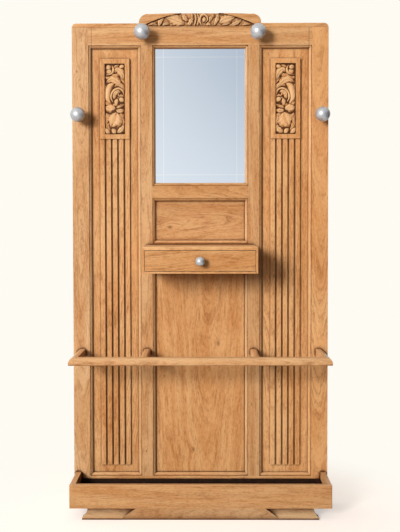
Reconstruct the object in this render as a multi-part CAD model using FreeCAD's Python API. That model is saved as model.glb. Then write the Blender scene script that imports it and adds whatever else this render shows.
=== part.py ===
import FreeCAD, Part
import os

# Hall stand in light oak: a framed and panelled back with a mirror, two reeded side panels with
# carved blocks, a carved crest, a glove drawer, four ball pegs, an umbrella rail and a trough.
# Millimetres. X runs left to right, the front faces -Y, Z is up. The origin is on the floor,
# under the middle of the whole stand.

os.makedirs("parts", exist_ok=True)

# Frame
frame_width = 1010
frame_height = 1894
frame_thickness = 30
stile_width = 77
muntin_width = 69
side_opening_width = 182
top_rail_height = 83
mirror_rail_height = 72
upper_panel_opening_height = 156
lower_panel_opening_height = 803
bottom_rail_height = 84
corner_radius = 20

# Moulded edge worked on every member round its openings
moulding_width = 12
moulding_step = 3
moulding_lip = 4
ovolo_swell_share = 0.13

# Panels and their grooves
panel_recess = 14
panel_thickness = 8
groove_depth = 8
panel_play = 1
field_side_margin = 32
field_top_margin = 39
field_bottom_margin = 31
block_height = 316
block_thickness = 10
block_chamfer = 1.5
vignette_margin = 19
vignette_depth = 7
reed_spacing = 24.8
reed_gap = 6
reed_height = 7
reed_round = 2.5

# Frame joints
tenon_thickness = 8
tenon_shoulder = 8
stile_tenon_length = 35
muntin_tenon_length = 35
muntin_tenon_to_stud = 4
cross_tenon_length = 25
joint_gap = 0.2
mortise_relief = 1

# Mirror
rebate_width = 9
glass_thickness = 5
glass_play = 1
mirror_board_thickness = 5

# Crest and caps
cap_thickness = 16
cap_round = 5
crest_end_inset = 6
crest_height = 55
crest_crown = 4
crest_back_setback = 4
crest_corner_width = 38
crest_corner_height = 27
lunette_end_margin = 8
lunette_chord_lift = 3
lunette_top_lift = 60
lunette_depth = 7
crest_dowel_radius = 4
crest_dowel_length = 40
crest_dowel_inset = 90

# Ball pegs
upper_ball_diameter = 62
lower_ball_diameter = 58
ball_reach = 62
upper_ball_offset = 13.5
upper_ball_drop = 30
lower_ball_inset = 30.5
lower_ball_drop = 348.5
peg_flange_radius = 12
peg_flange_thickness = 3
peg_neck_radius = 7
peg_stud_radius = 4
peg_stud_in_ball = 18
peg_stud_in_frame = 22
stud_gap = 0.1

# Drawer case
case_lap = 38
case_depth = 235
case_lift = 7
case_headroom = 16.9
case_board = 8
case_top_thickness = 14
case_top_round = 7
case_housing_depth = 4
case_screw_radius = 2
case_screw_head_radius = 4
case_screw_head_depth = 3
case_screw_in_board = 40
case_screw_inset = 65

# Drawer
drawer_front_height = 77
drawer_front_thickness = 18
drawer_side_gap = 1.3
drawer_top_gap = 1.8
drawer_bottom_gap = 0.3
drawer_front_lift = 1.4
drawer_board = 10
drawer_side_drop = 12
drawer_bottom_thickness = 5
drawer_bottom_lift = 8
drawer_groove_depth = 5
drawer_rebate_depth = 9
stop_gap = 0.3
stop_length = 12.7
stop_width = 30
stop_height = 18
stop_inset = 85

# Drawer knob
knob_diameter = 35
knob_reach = 30
knob_flange_radius = 10
knob_flange_thickness = 3
knob_neck_radius = 6
knob_screw_radius = 2
knob_screw_head_radius = 4
knob_screw_head_depth = 3
knob_screw_in_knob = 22

# Umbrella rail and its arms
rail_projection = 250
rail_end_inset = 14
rail_top_height = 625
rail_section_width = 34
rail_section_height = 29
rail_round_share = 0.75
rail_soft_edge = 3
inner_arm_width = 27
inner_arm_height = 26
inner_arm_round = 9
arm_peg_radius = 8
arm_peg_length = 20
rail_peg_length = 15

# Umbrella trough and drip tray
trough_end_inset = 6.5
trough_projection = 190
trough_bottom_height = 43
trough_height = 89
trough_board = 22
trough_lap = 11
trough_soft_edge = 3
trough_floor_thickness = 12
tray_height = 48
tray_wall = 1.5
tray_play = 1.5
tray_radius = 6

# Foot under the trough
foot_end_inset = 55
foot_thickness = 40
foot_toe = 6
foot_cove_depth = 22
foot_cove_sag = 5
foot_end_depth = 17
foot_cove_top_length = 207
foot_cove_bottom_length = 150
foot_bearer_thickness = 30
foot_bearer_inset = 50

# Cuts run past the faces that they open by this much
overrun = 2

# Places worked out from the sizes above
front_reach = max(case_depth + knob_reach + knob_diameter / 2, rail_projection)
overall_depth = frame_thickness + front_reach
back_y = overall_depth / 2
face_y = back_y - frame_thickness
half_frame = frame_width / 2
side_outer = half_frame - stile_width
side_inner = side_outer - side_opening_width
centre_opening_width = 2 * (side_inner - muntin_width)
stile_flat = side_outer + moulding_width
muntin_inner_flat = centre_opening_width / 2 + moulding_width
muntin_outer_flat = side_inner - moulding_width
muntin_centre = (centre_opening_width + muntin_width) / 2
case_height = case_board + drawer_bottom_gap + drawer_front_height + drawer_top_gap + case_top_thickness
drawer_rail_height = case_lift + case_height + case_headroom
sight_bottom = trough_bottom_height + bottom_rail_height
lower_panel_top = sight_bottom + lower_panel_opening_height
upper_panel_bottom = lower_panel_top + drawer_rail_height
upper_panel_top = upper_panel_bottom + upper_panel_opening_height
mirror_bottom = upper_panel_top + mirror_rail_height
sight_top = frame_height - top_rail_height
panel_y = face_y + panel_recess
tenon_y = panel_y
upper_ball_x = muntin_centre + upper_ball_offset
upper_ball_z = frame_height - upper_ball_drop
lower_ball_x = half_frame - lower_ball_inset
lower_ball_z = frame_height - lower_ball_drop


def vec(x, y, z):
    return FreeCAD.Vector(x, y, z)


def box(x0, x1, y0, y1, z0, z1):
    """A block between two corners."""
    return Part.makeBox(x1 - x0, y1 - y0, z1 - z0, vec(x0, y0, z0))


def prism(points, direction):
    """A flat outline of points, pushed along a direction."""
    return Part.Face(Part.makePolygon(points + points[:1])).extrude(direction)


def front_prism(outline, y0, y1):
    """An outline of (x, z) points seen from the front, between two depths."""
    return prism([vec(x, y0, z) for x, z in outline], vec(0, y1 - y0, 0))


def plan_prism(outline, z0, z1):
    """An outline of (x, y) points seen from above, between two heights."""
    return prism([vec(x, y, z0) for x, y in outline], vec(0, 0, z1 - z0))


def wire_solid(edges, direction):
    """A closed run of edges, pushed along a direction."""
    return Part.Face(Part.Wire(edges)).extrude(direction)


def line(a, b):
    return Part.LineSegment(a, b).toShape()


def arc(a, through, b):
    return Part.Arc(a, through, b).toShape()


def rod(radius, length, x, y, z):
    """A round rod that starts at (x, y, z) and runs back along +Y."""
    return Part.makeCylinder(radius, length, vec(x, y, z), vec(0, 1, 0))


def fuse_all(shapes):
    """One solid from pieces that touch."""
    first, rest = shapes[0], shapes[1:]
    return (first.fuse(rest) if rest else first).removeSplitter()


def cut_all(shape, cutters):
    return shape.cut(Part.makeCompound(cutters)).removeSplitter() if cutters else shape


def mirrored(shape):
    """The same piece on the other side of the stand."""
    return shape.mirror(vec(0, 0, 0), vec(1, 0, 0))


def edges_where(shape, test):
    """The edges whose two ends both pass a test on their place."""
    return [edge for edge in shape.Edges if all(test(vertex.Point) for vertex in edge.Vertexes)]


def near(a, b):
    return abs(a - b) < joint_gap / 2


# Openings are given by their sight edges: x0, x1, z0, z1
centre_half = centre_opening_width / 2
left_opening = (-side_outer, -side_inner, sight_bottom, sight_top)
right_opening = (side_inner, side_outer, sight_bottom, sight_top)
mirror_opening = (-centre_half, centre_half, mirror_bottom, sight_top)
upper_opening = (-centre_half, centre_half, upper_panel_bottom, upper_panel_top)
lower_opening = (-centre_half, centre_half, sight_bottom, lower_panel_top)
panel_openings = [left_opening, right_opening, upper_opening, lower_opening]
all_openings = panel_openings + [mirror_opening]


def grown(opening, by):
    x0, x1, z0, z1 = opening
    return (x0 - by, x1 + by, z0 - by, z1 + by)


def opening_box(opening, y0, y1):
    x0, x1, z0, z1 = opening
    return box(x0, x1, y0, y1, z0, z1)


def mitred_outlines(opening):
    """The four strips that frame an opening, mitred at their ends."""
    x0, x1, z0, z1 = opening
    ox0, ox1, oz0, oz1 = grown(opening, moulding_width)
    return {
        "left": [(ox0, oz0), (x0, z0), (x0, z1), (ox0, oz1)],
        "right": [(ox1, oz0), (x1, z0), (x1, z1), (ox1, oz1)],
        "above": [(ox0, oz1), (x0, z1), (x1, z1), (ox1, oz1)],
        "below": [(ox0, oz0), (x0, z0), (x1, z0), (ox1, oz0)],
    }


def mitred_edge(opening, side):
    """The moulded strip of a member along one side of an opening, mitred at both ends."""
    return front_prism(mitred_outlines(opening)[side], face_y, back_y)


def moulding_waste(place, along):
    """What the plane takes off beside an opening: a square step, then all that lies over an ovolo.

    place(across, deep) gives its points, from the flat face towards the opening. The ovolo is an
    arc that swells over its chord, and it ends in a square lip over the panel."""
    wide, low, high = moulding_width, moulding_step, panel_recess - moulding_lip
    swell_x, swell_y = (high - low) * ovolo_swell_share, -wide * ovolo_swell_share
    top = place(wide / 2 + swell_x, (low + high) / 2 + swell_y)
    a, b, c, d = place(0, -overrun), place(0, low), place(wide, high), place(wide, -overrun)
    return wire_solid([line(a, b), arc(b, top, c), line(c, d), line(d, a)], along)


def moulding_cutter(opening):
    """The step and the ovolo that run round an opening, mitred in its corners, as one tool."""
    x0, x1, z0, z1 = grown(opening, moulding_width)
    tall, wide = vec(0, 0, z1 - z0), vec(x1 - x0, 0, 0)
    sides = {
        "left": moulding_waste(lambda across, deep: vec(x0 + across, face_y + deep, z0), tall),
        "right": moulding_waste(lambda across, deep: vec(x1 - across, face_y + deep, z0), tall),
        "above": moulding_waste(lambda across, deep: vec(x0, face_y + deep, z1 - across), wide),
        "below": moulding_waste(lambda across, deep: vec(x0, face_y + deep, z0 + across), wide),
    }
    outlines = mitred_outlines(opening)
    strips = [waste.common(front_prism(outlines[side], face_y - 2 * overrun, back_y))
              for side, waste in sides.items()]
    return fuse_all(strips)


def seat_cutter(opening):
    """A groove round a panel, or a rebate open at the back round the mirror."""
    if opening is mirror_opening:
        return opening_box(grown(opening, rebate_width), panel_y, back_y + overrun)
    return opening_box(grown(opening, groove_depth), panel_y, panel_y + panel_thickness)


opening_cutters = [moulding_cutter(o) for o in all_openings] + [seat_cutter(o) for o in all_openings]


def member(flat, edges):
    """A frame member: its flat part (x0, x1, z0, z1) and its moulded edges, moulded and grooved."""
    x0, x1, z0, z1 = flat
    strips = [mitred_edge(opening, side) for opening, side in edges]
    return cut_all(fuse_all([box(x0, x1, face_y, back_y, z0, z1)] + strips), opening_cutters)


def tenon(x0, x1, z0, z1):
    return box(x0, x1, tenon_y, tenon_y + tenon_thickness, z0, z1)


def mortise(x0, x1, z0, z1, deep_x=0, deep_z=0):
    """The socket of a tenon, with its gap all round and a relief past its end."""
    x0, x1 = x0 - joint_gap + min(deep_x, 0), x1 + joint_gap + max(deep_x, 0)
    z0, z1 = z0 - joint_gap + min(deep_z, 0), z1 + joint_gap + max(deep_z, 0)
    return box(x0, x1, tenon_y - joint_gap, tenon_y + tenon_thickness + joint_gap, z0, z1)


# Tenons of the frame: each is x0, x1, z0, z1, on the left side, and the way its mortise goes deeper
top_flat_z = sight_top + moulding_width
bottom_flat_z = sight_bottom - moulding_width
mirror_rail_flat = (upper_panel_top + moulding_width, mirror_bottom - moulding_width)
drawer_rail_flat = (lower_panel_top + moulding_width, upper_panel_bottom - moulding_width)


def side_tenon(inner_x, length, z0, z1):
    return (-inner_x - length, -inner_x, z0 + tenon_shoulder, z1 - tenon_shoulder)


def muntin_tenon(z0, z1):
    return (-muntin_outer_flat + tenon_shoulder, -muntin_inner_flat - tenon_shoulder, z0, z1)


top_rail_tenon = side_tenon(stile_flat, stile_tenon_length, top_flat_z, frame_height)
bottom_rail_tenon = side_tenon(stile_flat, stile_tenon_length, trough_bottom_height, bottom_flat_z)
mirror_rail_tenon = side_tenon(muntin_inner_flat, cross_tenon_length, *mirror_rail_flat)
drawer_rail_tenon = side_tenon(muntin_inner_flat, cross_tenon_length, *drawer_rail_flat)
muntin_top_tenon = muntin_tenon(top_flat_z, upper_ball_z - peg_stud_radius - muntin_tenon_to_stud)
muntin_bottom_tenon = muntin_tenon(bottom_flat_z - muntin_tenon_length, bottom_flat_z)


def corner_cutter():
    """Rounds the top left corner of the stand, through the cap and the stile."""
    x0, z1 = -half_frame, frame_height + cap_thickness
    waste = box(x0 - overrun, x0 + corner_radius, face_y - overrun, back_y + overrun,
                z1 - corner_radius, z1 + overrun)
    keep = rod(corner_radius, frame_thickness + 4 * overrun, x0 + corner_radius,
               face_y - 2 * overrun, z1 - corner_radius)
    return waste.cut(keep)


def peg_hole(x, z, radius, depth):
    """A hole in the front face."""
    return rod(radius, depth + overrun, x, face_y - overrun, z)


arm_z = rail_top_height - inner_arm_height / 2
outer_arm_z = rail_top_height - rail_section_height / 2
half_rail = half_frame - rail_end_inset
outer_arm_x = half_rail - rail_section_width / 2


def stud_hole(x, z):
    return peg_hole(x, z, peg_stud_radius + stud_gap, peg_stud_in_frame + mortise_relief)


def arm_hole(x, z):
    return peg_hole(x, z, arm_peg_radius + stud_gap, arm_peg_length + mortise_relief)


def build_left_stile():
    flat = (-half_frame, -stile_flat, 0, frame_height)
    stile = member(flat, [(left_opening, "left")])
    sockets = [mortise(*top_rail_tenon, deep_x=-mortise_relief),
               mortise(*bottom_rail_tenon, deep_x=-mortise_relief),
               stud_hole(-lower_ball_x, lower_ball_z),
               arm_hole(-outer_arm_x, outer_arm_z),
               corner_cutter()]
    return cut_all(stile, sockets)


def build_left_muntin():
    flat = (-muntin_outer_flat, -muntin_inner_flat, bottom_flat_z, top_flat_z)
    edges = [(left_opening, "right"), (mirror_opening, "left"),
             (upper_opening, "left"), (lower_opening, "left")]
    bar = fuse_all([member(flat, edges), tenon(*muntin_top_tenon), tenon(*muntin_bottom_tenon)])
    sockets = [mortise(*mirror_rail_tenon, deep_x=-mortise_relief),
               mortise(*drawer_rail_tenon, deep_x=-mortise_relief),
               arm_hole(-muntin_centre, arm_z)]
    return cut_all(bar, sockets)


def both_ends(left_tenon):
    shape = tenon(*left_tenon)
    return [shape, mirrored(shape)]


def both_sides(shape):
    return [shape, mirrored(shape)]


def build_top_rail():
    flat = (-stile_flat, stile_flat, top_flat_z, frame_height)
    edges = [(left_opening, "above"), (mirror_opening, "above"), (right_opening, "above")]
    rail = fuse_all([member(flat, edges)] + both_ends(top_rail_tenon))
    sockets = both_sides(mortise(*muntin_top_tenon, deep_z=mortise_relief))
    sockets += both_sides(stud_hole(-upper_ball_x, upper_ball_z))
    sockets += crest_dowels(stud_gap, mortise_relief)
    return cut_all(rail, sockets)


def build_bottom_rail():
    flat = (-stile_flat, stile_flat, trough_bottom_height, bottom_flat_z)
    edges = [(left_opening, "below"), (lower_opening, "below"), (right_opening, "below")]
    rail = fuse_all([member(flat, edges)] + both_ends(bottom_rail_tenon))
    return cut_all(rail, both_sides(mortise(*muntin_bottom_tenon, deep_z=-mortise_relief)))


def build_mirror_rail():
    flat = (-muntin_inner_flat, muntin_inner_flat) + mirror_rail_flat
    rail = member(flat, [(mirror_opening, "below"), (upper_opening, "above")])
    return fuse_all([rail] + both_ends(mirror_rail_tenon))


def build_drawer_rail():
    flat = (-muntin_inner_flat, muntin_inner_flat) + drawer_rail_flat
    rail = member(flat, [(upper_opening, "below"), (lower_opening, "above")])
    rail = fuse_all([rail] + both_ends(drawer_rail_tenon))
    return cut_all(rail, [screw(x, z, stud_gap) for x, z in case_screw_places()])


# Panels
def panel_board(opening):
    """A plain panel, held in the grooves round its opening."""
    edge = grown(opening, groove_depth - panel_play)
    return opening_box(edge, panel_y, panel_y + panel_thickness)


field_x = (side_inner + side_outer) / 2
field_width = side_opening_width - 2 * field_side_margin
block_top = sight_top - field_top_margin
block_bottom = block_top - block_height
reed_bottom = sight_bottom + field_bottom_margin
reed_count = round((field_width + reed_gap) / reed_spacing)
reed_width = (field_width + reed_gap) / reed_count - reed_gap


def reed(x0):
    """One upright reed with softly rounded shoulders, standing on the panel."""
    x1, top = x0 + reed_width, panel_y - reed_height
    base, turn = panel_y + overrun, reed_round * (1 - 0.5 ** 0.5)
    a, b = vec(x0, base, reed_bottom), vec(x0, top + reed_round, reed_bottom)
    c, d = vec(x0 + reed_round, top, reed_bottom), vec(x1 - reed_round, top, reed_bottom)
    e, f = vec(x1, top + reed_round, reed_bottom), vec(x1, base, reed_bottom)
    left_mid = vec(x0 + turn, top + turn, reed_bottom)
    right_mid = vec(x1 - turn, top + turn, reed_bottom)
    edges = [line(a, b), arc(b, left_mid, c), line(c, d), arc(d, right_mid, e), line(e, f), line(f, a)]
    return wire_solid(edges, vec(0, 0, block_bottom - reed_bottom))


def build_left_reeded_panel():
    first = -field_x - field_width / 2
    reeds = [reed(first + i * (reed_width + reed_gap)) for i in range(reed_count)]
    return fuse_all([panel_board(left_opening)] + reeds)


def build_left_carved_block():
    """The block above the reeds, with the sunk ground that its carving stands on."""
    x0, x1 = -field_x - field_width / 2, -field_x + field_width / 2
    front = panel_y - block_thickness
    block = box(x0, x1, front, panel_y, block_bottom, block_top)
    rim = edges_where(block, lambda p: near(p.y, front))
    block = block.makeChamfer(block_chamfer, rim)
    m = vignette_margin
    ground = box(x0 + m, x1 - m, front - overrun, front + vignette_depth, block_bottom + m, block_top - m)
    return block.cut(ground)


# Mirror
def build_mirror_glass():
    edge = grown(mirror_opening, rebate_width - glass_play)
    return opening_box(edge, panel_y, panel_y + glass_thickness)


mirror_board_y = panel_y + glass_thickness
bead_y = mirror_board_y + mirror_board_thickness


def build_mirror_back_board():
    edge = grown(mirror_opening, rebate_width - glass_play)
    return opening_box(edge, mirror_board_y, bead_y)


def build_mirror_beads():
    """Four mitred beads that hold the mirror in its rebate from behind."""
    x0, x1, z0, z1 = mirror_opening
    ox0, ox1, oz0, oz1 = grown(mirror_opening, rebate_width)
    outlines = [[(ox0, oz0), (x0, z0), (x0, z1), (ox0, oz1)],
                [(ox1, oz0), (x1, z0), (x1, z1), (ox1, oz1)],
                [(ox0, oz1), (x0, z1), (x1, z1), (ox1, oz1)],
                [(ox0, oz0), (x0, z0), (x1, z0), (ox1, oz0)]]
    return Part.makeCompound([front_prism(outline, bead_y, back_y) for outline in outlines])


# Crest and caps
half_crest = side_inner - crest_end_inset
crest_thickness = frame_thickness - crest_back_setback
lunette_chord = half_crest - lunette_end_margin
lunette_rise = lunette_top_lift - lunette_chord_lift
lunette_radius = (lunette_chord ** 2 + lunette_rise ** 2) / (2 * lunette_rise)


def crest_dowels(gap, relief):
    """Three dowels between the top rail and the crest, or their holes."""
    y, pitch = face_y + crest_thickness / 2, half_crest - crest_dowel_inset
    start = frame_height - crest_dowel_length / 2 - relief
    length = crest_dowel_length + 2 * relief
    places = [vec(i * pitch, y, start) for i in (-1, 0, 1)]
    return [Part.makeCylinder(crest_dowel_radius + gap, length, place) for place in places]


def build_crest_board():
    """The crest: rounded shoulders, a slightly crowned top and a sunk lunette for its carving."""
    half, base = half_crest, frame_height
    shoulder = base + crest_height - crest_crown
    turn_x = crest_corner_width * (1 - 0.5 ** 0.5)
    turn_z = crest_corner_height * (1 - 0.5 ** 0.5)
    low = shoulder - crest_corner_height
    a, b = vec(half, face_y, base), vec(half, face_y, low)
    b_mid = vec(half - turn_x, face_y, shoulder - turn_z)
    c = vec(half - crest_corner_width, face_y, shoulder)
    top = vec(0, face_y, base + crest_height)
    d, d_mid = vec(-c.x, face_y, c.z), vec(-b_mid.x, face_y, b_mid.z)
    e, f = vec(-half, face_y, low), vec(-half, face_y, base)
    edges = [line(a, b), arc(b, b_mid, c), arc(c, top, d), arc(d, d_mid, e), line(e, f), line(f, a)]
    board = wire_solid(edges, vec(0, crest_thickness, 0))
    disc_z = base + lunette_top_lift - lunette_radius
    disc = rod(lunette_radius, lunette_depth + overrun, 0, face_y - overrun, disc_z)
    strip = box(-half - overrun, half + overrun, face_y - overrun, face_y + lunette_depth,
                base + lunette_chord_lift, base + crest_height + overrun)
    return cut_all(board, [disc.common(strip)] + crest_dowels(stud_gap, mortise_relief))


def build_left_cap():
    z1 = frame_height + cap_thickness
    cap = box(-half_frame, -half_crest, face_y, back_y, frame_height, z1)
    rim = edges_where(cap, lambda p: near(p.y, face_y) and near(p.z, z1))
    return cap.makeFillet(cap_round, rim).cut(corner_cutter())


# Ball pegs
ball_places = {
    "upper_left_ball": (-upper_ball_x, upper_ball_z, upper_ball_diameter / 2),
    "upper_right_ball": (upper_ball_x, upper_ball_z, upper_ball_diameter / 2),
    "lower_left_ball": (-lower_ball_x, lower_ball_z, lower_ball_diameter / 2),
    "lower_right_ball": (lower_ball_x, lower_ball_z, lower_ball_diameter / 2),
}


def neck_seat(radius, neck_radius):
    """How far behind a ball's centre a neck of this radius meets its surface."""
    return (radius ** 2 - neck_radius ** 2) ** 0.5


def build_ball(x, z, radius):
    """A ball with a flat seat for its neck and a socket for its stud."""
    centre_y = face_y - ball_reach
    seat_y = centre_y + neck_seat(radius, peg_neck_radius)
    ball = Part.makeSphere(radius, vec(x, centre_y, z))
    behind = rod(radius, radius, x, seat_y, z)
    depth = peg_stud_in_ball + mortise_relief
    socket = rod(peg_stud_radius + stud_gap, depth + overrun, x, seat_y - depth, z)
    return cut_all(ball, [behind, socket])


def build_peg_stem(x, z, radius):
    """The turned stem of a peg: a flange on the frame, a neck, and a stud into frame and ball."""
    seat_y = face_y - ball_reach + neck_seat(radius, peg_neck_radius)
    flange_y = face_y - peg_flange_thickness
    stud_y = seat_y - peg_stud_in_ball
    neck = rod(peg_neck_radius, face_y - seat_y, x, seat_y, z)
    flange = rod(peg_flange_radius, peg_flange_thickness, x, flange_y, z)
    stud = rod(peg_stud_radius, face_y + peg_stud_in_frame - stud_y, x, stud_y, z)
    return fuse_all([neck, flange, stud])


# Drawer case
half_case = centre_half + case_lap
case_front_y = face_y - case_depth
case_bottom_height = lower_panel_top + case_lift
case_floor_z = case_bottom_height + case_board
case_roof_z = case_floor_z + drawer_bottom_gap + drawer_front_height + drawer_top_gap
case_top_z = case_roof_z + case_top_thickness


def case_screw_places():
    """Screws through the drawer rail into the rear edges of the case's top and floor."""
    heights = (case_roof_z + case_top_thickness / 2, case_bottom_height + case_board / 2)
    pitch = half_case - case_screw_inset
    return [(i * pitch, z) for z in heights for i in (-1, 0, 1)]


def screw(x, z, gap):
    """A screw from the back of the frame towards the front, or its hole."""
    length = frame_thickness + case_screw_in_board
    shank = rod(case_screw_radius + gap, length, x, back_y - length, z)
    head = rod(case_screw_head_radius + gap, case_screw_head_depth, x, back_y - case_screw_head_depth, z)
    return shank.fuse(head)


def build_case_top():
    """The lid of the case, with its front and side edges rounded over."""
    top = box(-half_case, half_case, case_front_y, face_y, case_roof_z, case_top_z)
    rim = edges_where(top, lambda p: near(p.z, case_top_z))
    rim = [edge for edge in rim if not all(near(vertex.Point.y, face_y) for vertex in edge.Vertexes)]
    top = top.makeFillet(case_top_round, rim)
    holes = [screw(x, z, stud_gap) for x, z in case_screw_places() if z > case_roof_z]
    housing = case_side_box(half_case - case_board, case_roof_z + case_housing_depth)
    return cut_all(top, holes + both_sides(housing))


def case_side_box(inner_x, top_z):
    """The left side board of the case up to a given height."""
    return box(-half_case, -inner_x, case_front_y + case_board, face_y, case_bottom_height, top_z)


def build_left_case_side():
    """A side board, with a tongue up into the case's top behind the front edge."""
    inner = half_case - case_board
    plain = box(-half_case, -inner, case_front_y, face_y, case_bottom_height, case_roof_z)
    tongue_top = case_roof_z + case_housing_depth - joint_gap
    return fuse_all([plain, case_side_box(inner, tongue_top)])


def build_case_floor():
    inner = half_case - case_board
    board = box(-inner, inner, case_front_y, face_y, case_bottom_height, case_floor_z)
    holes = [screw(x, z, stud_gap) for x, z in case_screw_places() if z < case_roof_z]
    return cut_all(board, holes)


def build_case_screws():
    return Part.makeCompound([screw(x, z, 0) for x, z in case_screw_places()])


def build_drawer_stops():
    """Two blocks on the drawer rail that the drawer's back comes up against."""
    y0 = face_y - stop_length
    centres = (stop_inset - half_case, half_case - stop_inset)
    blocks = [box(x - stop_width / 2, x + stop_width / 2, y0, face_y, case_floor_z,
                  case_floor_z + stop_height) for x in centres]
    return Part.makeCompound(blocks)


# Drawer
drawer_z = case_floor_z + drawer_bottom_gap
half_drawer = half_case - case_board - drawer_side_gap
drawer_back_y = face_y - stop_length - stop_gap
drawer_side_top = drawer_z + drawer_front_height - drawer_side_drop
drawer_inner_x = half_drawer - drawer_board
drawer_side_y = case_front_y + drawer_front_thickness - drawer_rebate_depth
drawer_floor_z = drawer_z + drawer_bottom_lift


def drawer_floor(play):
    """The drawer's floor, or with no play the grooves that hold it."""
    reach = drawer_groove_depth - play
    y0 = case_front_y + drawer_front_thickness - reach
    return box(-drawer_inner_x - reach, drawer_inner_x + reach, y0, drawer_back_y - drawer_board + reach,
               drawer_floor_z, drawer_floor_z + drawer_bottom_thickness)


def build_drawer_front():
    """The drawer's front, rebated behind each end for the sides and grooved for the floor."""
    front = box(-half_drawer, half_drawer, case_front_y, case_front_y + drawer_front_thickness,
                drawer_z + drawer_front_lift, drawer_z + drawer_front_height)
    rebate = box(-half_drawer - overrun, -drawer_inner_x, drawer_side_y,
                 case_front_y + drawer_front_thickness + overrun,
                 drawer_z - overrun, drawer_z + drawer_front_height + overrun)
    return cut_all(front, both_sides(rebate) + [drawer_floor(0), knob_screw(stud_gap)])


def build_left_drawer_side():
    side = box(-half_drawer, -drawer_inner_x, drawer_side_y, drawer_back_y, drawer_z, drawer_side_top)
    return side.cut(drawer_floor(0))


def build_drawer_back():
    back = box(-drawer_inner_x, drawer_inner_x, drawer_back_y - drawer_board, drawer_back_y,
               drawer_z, drawer_side_top)
    return back.cut(drawer_floor(0))


knob_z = drawer_z + drawer_front_height / 2
knob_radius = knob_diameter / 2
knob_y = case_front_y - knob_reach


def knob_screw(gap):
    """The screw that holds the knob from inside the drawer, or its hole."""
    head_y = case_front_y + drawer_front_thickness - knob_screw_head_depth
    shank_y = case_front_y - knob_screw_in_knob
    shank = rod(knob_screw_radius + gap, head_y + knob_screw_head_depth - shank_y, 0, shank_y, knob_z)
    head = rod(knob_screw_head_radius + gap, knob_screw_head_depth, 0, head_y, knob_z)
    return shank.fuse(head)


def build_drawer_knob():
    """A ball on a short neck and flange."""
    ball = Part.makeSphere(knob_radius, vec(0, knob_y, knob_z))
    neck = rod(knob_neck_radius, knob_reach, 0, knob_y, knob_z)
    flange = rod(knob_flange_radius, knob_flange_thickness, 0, case_front_y - knob_flange_thickness, knob_z)
    return fuse_all([ball, neck, flange]).cut(knob_screw(stud_gap))


# Umbrella rail and arms
rail_front_y = face_y - rail_projection
rail_back_y = rail_front_y + rail_section_width
rail_bottom_z = rail_top_height - rail_section_height
rail_round = rail_section_height * rail_round_share


def handrail_section(place):
    """The handrail's section: a big round outside, a soft edge inside. place(u, z) gives its points."""
    w, top, r, s = rail_section_width, rail_top_height, rail_round, rail_soft_edge
    turn, soft = r * (1 - 0.5 ** 0.5), s * (1 - 0.5 ** 0.5)
    a, b = place(0, rail_bottom_z + s), place(0, top - r)
    c, d = place(r, top), place(w - s, top)
    e, f, g = place(w, top - s), place(w, rail_bottom_z), place(s, rail_bottom_z)
    return [line(a, b), arc(b, place(turn, top - turn), c), line(c, d),
            arc(d, place(w - soft, top - soft), e), line(e, f), line(f, g),
            arc(g, place(soft, rail_bottom_z + soft), a)]


def build_umbrella_rail():
    """The long front rail, mitred at both ends to meet the outer arms."""
    bar = wire_solid(handrail_section(lambda u, z: vec(-half_rail, rail_front_y + u, z)),
                     vec(2 * half_rail, 0, 0))
    w = rail_section_width
    plan = [(-half_rail, rail_front_y), (half_rail, rail_front_y),
            (half_rail - w, rail_back_y), (-half_rail + w, rail_back_y)]
    bar = bar.common(plan_prism(plan, rail_bottom_z - overrun, rail_top_height + overrun))
    holes = both_sides(inner_arm_peg(-muntin_centre, stud_gap, mortise_relief))
    return cut_all(bar, holes)


def build_left_outer_arm():
    """An end arm, mitred in front and pegged into the stile behind."""
    bar = wire_solid(handrail_section(lambda u, z: vec(-half_rail + u, rail_front_y, z)),
                     vec(0, rail_projection, 0))
    w = rail_section_width
    plan = [(-half_rail, rail_front_y), (-half_rail + w, rail_back_y),
            (-half_rail + w, face_y), (-half_rail, face_y)]
    bar = bar.common(plan_prism(plan, rail_bottom_z - overrun, rail_top_height + overrun))
    return fuse_all([bar, rod(arm_peg_radius, arm_peg_length, -outer_arm_x, face_y, outer_arm_z)])


def inner_arm_peg(x, gap, relief):
    """The round tenon between an inner arm and the rail, or its hole."""
    length = rail_peg_length + relief
    return rod(arm_peg_radius + gap, length, x, rail_back_y - length, arm_z)


def build_left_inner_arm():
    """A middle arm with both upper edges rounded, pegged at both ends."""
    x0, x1 = -muntin_centre - inner_arm_width / 2, -muntin_centre + inner_arm_width / 2
    z0, z1, r = rail_top_height - inner_arm_height, rail_top_height, inner_arm_round
    turn, y = r * (1 - 0.5 ** 0.5), rail_back_y
    a, b, c = vec(x0, y, z0), vec(x0, y, z1 - r), vec(x0 + r, y, z1)
    d, e, f = vec(x1 - r, y, z1), vec(x1, y, z1 - r), vec(x1, y, z0)
    edges = [line(a, b), arc(b, vec(x0 + turn, y, z1 - turn), c), line(c, d),
             arc(d, vec(x1 - turn, y, z1 - turn), e), line(e, f), line(f, a)]
    bar = wire_solid(edges, vec(0, face_y - rail_back_y, 0))
    rear_peg = rod(arm_peg_radius, arm_peg_length, -muntin_centre, face_y, arm_z)
    return fuse_all([bar, inner_arm_peg(-muntin_centre, 0, 0), rear_peg])


# Umbrella trough
half_trough = half_frame - trough_end_inset
trough_front_y = face_y - trough_projection
trough_inner_x = half_trough - trough_board
trough_back_of_front_y = trough_front_y + trough_board
trough_top = trough_bottom_height + trough_height


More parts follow.
